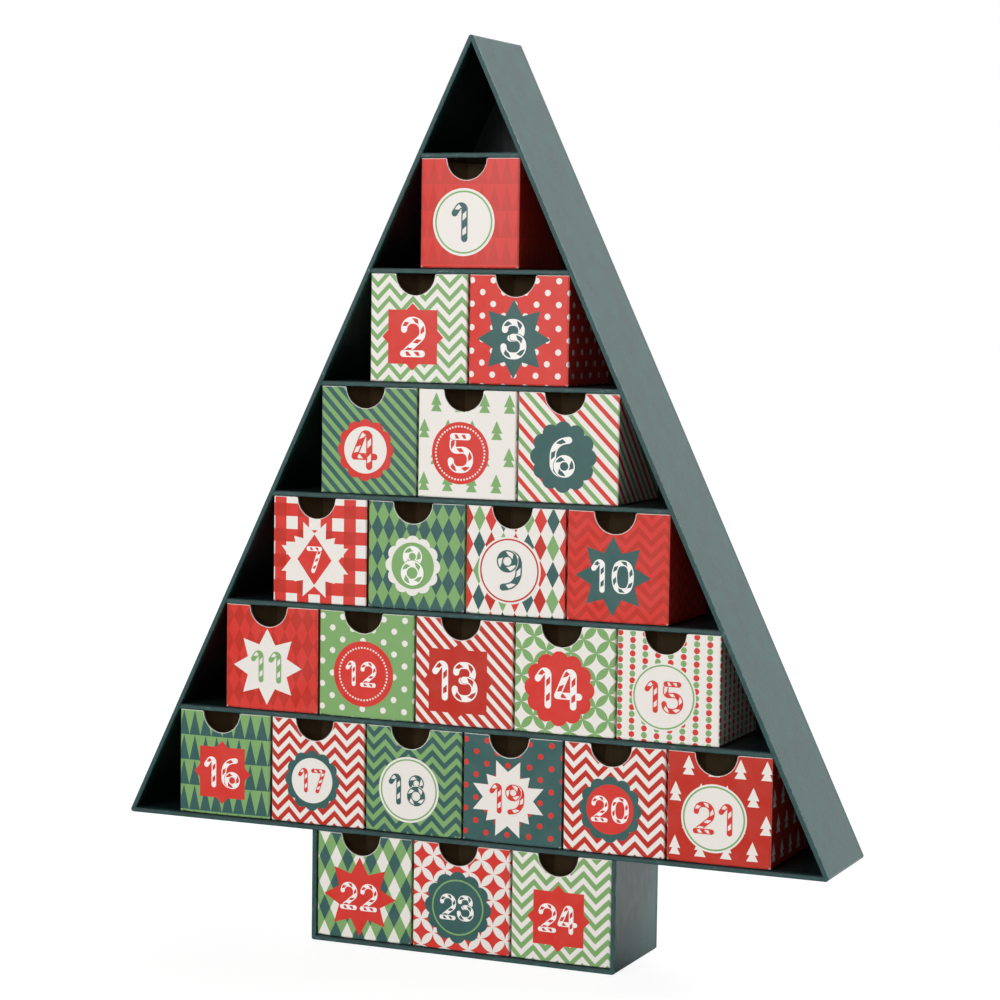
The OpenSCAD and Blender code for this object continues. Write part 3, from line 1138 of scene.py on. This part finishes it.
def lay_number(work, text, tall, left, right, middle, ink_name, bar_ink):
    """The numerals of one drawer, spread from left to right round a middle height"""
    thick = STICK_SHARE * tall
    height = tall - thick
    half = thick / 2
    rim = RIM_SHARE * thick
    widths = [numeral_width(letter) * height + thick for letter in text]
    starts = [left, right - widths[-1]] if len(text) > 1 else [(left + right - widths[0]) / 2]
    for letter, start in zip(text, starts):
        corner = Vector((start + half, middle - height / 2))
        for turn, (closed, corners) in enumerate(NUMERALS[letter]):
            line = rounded_line([(x * height, y * height, r * height) for x, y, r in corners], closed)
            track = Track([corner + point for point in line], closed)
            bars = max(2, round(track.length / (BAR_PITCH_SHARE * tall)))
            layer = FIRST_LAYER + 2 * turn
            if turn and letter != PLAIN_CROSSING:
                lay_strip(work, track, bars, (-half - HALO, half + HALO), bar_ink, bar_ink, layer - 1)
            lay_strip(work, track, bars, (-half, rim - half, half - rim, half), ink_name, bar_ink, layer)


# %% The badge of every drawer
# The badge's middle, in mm across from a line just inside the front's left edge and down from the rim, and
# then its plates from the lowest up. A plate is an outline and its ink, or the radius, width and ink of a
# thin ring, or the radius of a ring of dots, each dot's radius and their ink.
LEFT_EDGE = 0.36 - HALF
RINGED = "ringed"
DOTTED = "dotted"
BADGES = {
    1: (21.9, 29.5, [(disc(15.7), "cream"), (RINGED, 14.2, 0.75, "green")]),
    2: (21.9, 29.5, [(pointed_square(12.7, 15.8, 3.2), "red")]),
    3: (22.5, 29.5, [(star(18.4, 11.5), "teal")]),
    4: (23.4, 29.8, [(rosette(14.75), "red"), (disc(11.2), "cream")]),
    5: (21.6, 29.5, [(disc(14.6), "red"), (DOTTED, 12.5, 0.5, "cream")]),
    6: (22.5, 29.4, [(rosette(16.5), "teal")]),
    7: (22.3, 29.8, [(burst(), "cream"), (diamond(9.2, 12.2), "red")]),
    8: (23.3, 29.9, [(rosette(14.3), "cream"), (disc(11.05), "green")]),
    9: (21.9, 29.5, [(disc(15.8), "cream"), (RINGED, 14.5, 0.75, "brick")]),
    10: (22.5, 29.5, [(star(18.5, 11.5), "teal")]),
    11: (22.6, 29.5, [(star(18.6, 11.5), "cream")]),
    12: (23.4, 29.5, [(disc(15.75), "red"), (DOTTED, 12.6, 0.5, "cream")]),
    13: (21.8, 29.6, [(pointed_square(15.0, 17.5, 3.2), "brick")]),
    14: (22.3, 29.4, [(rosette(17.5), "red")]),
    15: (22.7, 29.6, [(disc(15.6), "cream"), (RINGED, 14.5, 0.7, "green")]),
    16: (23.6, 29.7, [(pointed_square(12.5, 15.6, 3.2), "red")]),
    17: (22.0, 29.5, [(rosette(14.75), "teal"), (disc(11.0), "cream")]),
    18: (22.5, 29.6, [(disc(15.75), "cream"), (RINGED, 14.4, 0.7, "green")]),
    19: (22.8, 29.5, [(burst(), "cream")]),
    20: (23.0, 29.9, [(rosette(15.5), "teal"), (disc(11.65), "red")]),
    21: (22.4, 29.6, [(disc(15.75), "cream"), (RINGED, 14.5, 0.75, "green")]),
    22: (22.6, 30.0, [(star(19.2, 11.8), "red")]),
    23: (23.3, 29.9, [(rosette(17.2), "teal"), (RINGED, 13.0, 0.75, "green")]),
    24: (23.7, 29.9, [(pointed_square(12.7, 15.8, 3.2), "red")]),
}
print("badges:", len(BADGES))

# %% The number of every drawer
# Its height, its left and its right end across from that same line, its ink, and the ink of its bars
NUMBERS = {
    1: (18.5, 16.0, 23.8, "teal", "cream"),
    2: (18.9, 15.5, 28.9, "white", "red"),
    3: (18.6, 16.0, 29.0, "white", "teal"),
    4: (18.8, 16.0, 30.0, "red", "cream"),
    5: (18.6, 15.2, 28.6, "white", "red"),
    6: (18.9, 15.5, 29.0, "white", "teal"),
    7: (12.8, 17.7, 27.0, "white", "red"),
    8: (18.8, 16.3, 29.7, "white", "green"),
    9: (19.1, 15.3, 28.7, "teal", "cream"),
    10: (15.4, 11.8, 32.8, "white", "teal"),
    11: (15.6, 13.7, 30.3, "green", "cream"),
    12: (12.2, 14.1, 30.4, "white", "red"),
    13: (18.9, 8.6, 32.2, "white", "brick"),
    14: (19.1, 10.0, 33.9, "white", "red"),
    15: (14.9, 13.4, 32.2, "red", "cream"),
    16: (15.3, 13.6, 33.6, "white", "red"),
    17: (11.9, 14.5, 29.4, "red", "cream"),
    18: (14.9, 12.0, 31.3, "teal", "cream"),
    19: (14.4, 13.4, 31.2, "red", "cream"),
    20: (12.2, 13.7, 32.3, "white", "red"),
    21: (14.9, 12.5, 31.3, "red", "cream"),
    22: (13.3, 12.3, 32.2, "white", "red"),
    23: (12.4, 14.0, 31.8, "white", "teal"),
    24: (13.5, 13.6, 33.3, "white", "red"),
}
print("numbers:", len(NUMBERS))

# %% Draw a badge and a number
DOTS = 50
DOT_CORNERS = 8


def lay_dots(work, radius, size, ink_name, layer, centre):
    """A ring of small dots"""
    dot = [(k * 360 / DOT_CORNERS, size) for k in range(DOT_CORNERS)]
    for k in range(DOTS):
        turn = 2 * math.pi * k / DOTS
        middle = (centre[0] + radius * math.cos(turn), centre[1] + radius * math.sin(turn))
        lay_plate(work, dot, ink_name, layer, middle)


def badge_maker(number):
    """A function that draws the badge of that drawer"""
    across, down, plates = BADGES[number]
    centre = (across + LEFT_EDGE, -down)

    def draw(work):
        for layer, (shape, *measures, ink_name) in enumerate(plates):
            if shape == RINGED:
                radius, width = measures
                lay_plate(work, disc(radius + width / 2), ink_name, layer, centre, hole=width)
            elif shape == DOTTED:
                lay_dots(work, *measures, ink_name, layer, centre)
            else:
                lay_plate(work, shape, ink_name, layer, centre)
        wrap_on_front(work, number)

    return draw


def number_maker(number):
    """A function that draws the numerals of that drawer"""
    tall, left, right, ink_name, bar_ink = NUMBERS[number]
    ends = (left + LEFT_EDGE, right + LEFT_EDGE)
    middle = -BADGES[number][1]

    def draw(work):
        lay_number(work, str(number), tall, *ends, middle, ink_name, bar_ink)
        wrap_on_front(work, number)

    return draw


# %% Put badges and numerals on the drawers
def shell_report(made):
    """How many separate solids an object has, how many open edges, and how many solids are inside out"""
    work = bmesh.new()
    work.from_mesh(made.data)
    open_edges = sum(len(edge.link_faces) != 2 for edge in work.edges)
    volumes = [shell_volume(shell) for shell in shells_of(work)]
    work.free()
    return len(volumes), open_edges, sum(volume < 0 for volume in volumes)


totals = [0, 0, 0]
for number, name in DRAWERS.items():
    badge = make_object(f"badge_{number:02d}", badge_maker(number), *INKS.values())
    numeral = make_object(f"numeral_{number:02d}", number_maker(number), *INKS.values())
    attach(badge, name)
    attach(numeral, name)
    lowest_plate = BADGES[number][2][0]
    card_slot(lowest_plate[-1])
    card_slot(NUMBERS[number][3])
    for made in (badge, numeral):
        totals = [total + count for total, count in zip(totals, shell_report(made))]
print("plates and sticks:", totals[0], "open edges:", totals[1], "turned inside out:", totals[2])
